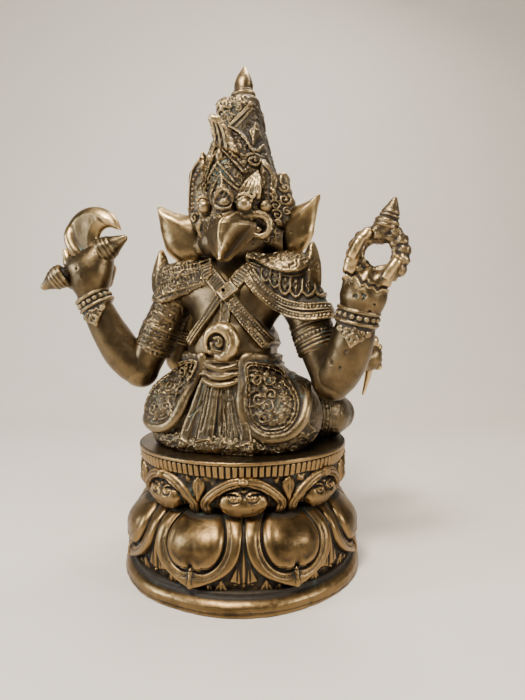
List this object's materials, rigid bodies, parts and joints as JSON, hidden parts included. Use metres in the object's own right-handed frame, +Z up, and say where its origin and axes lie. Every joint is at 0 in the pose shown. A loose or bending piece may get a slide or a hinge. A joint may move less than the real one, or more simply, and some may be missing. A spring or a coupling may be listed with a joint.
{
  "type": "hindu deity statue",
  "caption": "Cast bronze seated four-armed elephant-headed deity on a round double-lotus pedestal, with a beaked mask ornament at the back of its tall crown.",
  "frame": {"origin": "centre of the base ring on the plane it rests on, on the pedestal's axis", "axes": "+Z up, +Y the way the deity faces, +X the deity's right hand side; the rear with the bird mask is -Y"},
  "size_m": [0.2711, 0.1846, 0.3961],
  "materials": {
    "bronze_smooth": "cast bronze rubbed bright on the smooth forms, brown-gold with small casting pits",
    "bronze_relief": "cast bronze with deep relief, dark brown patina in the recesses and traces of green",
    "bronze_pedestal": "cast bronze, satin, worn bright on the petal domes and dark between them",
    "steel_fixing": "plain steel stud, washer and nut, hidden inside the pedestal"
  },
  "bodies": {
    "root": {"base_ring": "bronze_smooth", "lower_lotus_tier": "bronze_pedestal", "upper_lotus_tier": "bronze_pedestal", "seat_plate": "bronze_pedestal", "figure_stud": "steel_fixing", "stud_washer": "steel_fixing", "stud_nut": "steel_fixing", "hips": "bronze_relief", "left_thigh": "bronze_relief", "right_thigh": "bronze_relief", "left_shin": "bronze_smooth", "right_shin": "bronze_smooth", "rear_apron": "bronze_relief", "left_hip_panel": "bronze_relief", "right_hip_panel": "bronze_relief", "waist_sash": "bronze_smooth", "sash_knot": "bronze_smooth", "torso": "bronze_smooth", "chest_straps": "bronze_relief", "strap_buckle": "bronze_relief", "left_shoulder_collar": "bronze_relief", "right_shoulder_collar": "bronze_relief", "front_necklace": "bronze_relief", "left_upper_arm": "bronze_smooth", "left_forearm": "bronze_smooth", "left_hand": "bronze_smooth", "left_armlet": "bronze_relief", "left_bracelet": "bronze_relief", "right_upper_arm": "bronze_smooth", "right_forearm": "bronze_smooth", "right_hand": "bronze_smooth", "right_armlet": "bronze_relief", "right_bracelet": "bronze_relief", "front_left_upper_arm": "bronze_smooth", "front_left_forearm": "bronze_smooth", "front_left_hand": "bronze_smooth", "front_right_upper_arm": "bronze_smooth", "front_right_forearm": "bronze_smooth", "front_right_hand": "bronze_smooth", "hook_blade": "bronze_smooth", "hook_handle": "bronze_relief", "rosary_ring": "bronze_relief", "rosary_cone": "bronze_smooth", "broken_tusk": "bronze_smooth", "sweets_bowl": "bronze_smooth", "sweets": "bronze_smooth", "head": "bronze_smooth", "trunk": "bronze_smooth", "tusks": "bronze_smooth", "left_ear": "bronze_smooth", "right_ear": "bronze_smooth", "crown_body": "bronze_relief", "crown_finial": "bronze_smooth", "left_crown_flange": "bronze_relief", "right_crown_flange": "bronze_relief", "bird_mask": "bronze_relief", "bird_beak": "bronze_smooth", "mask_crest": "bronze_relief"}
  },
  "joints": []
}
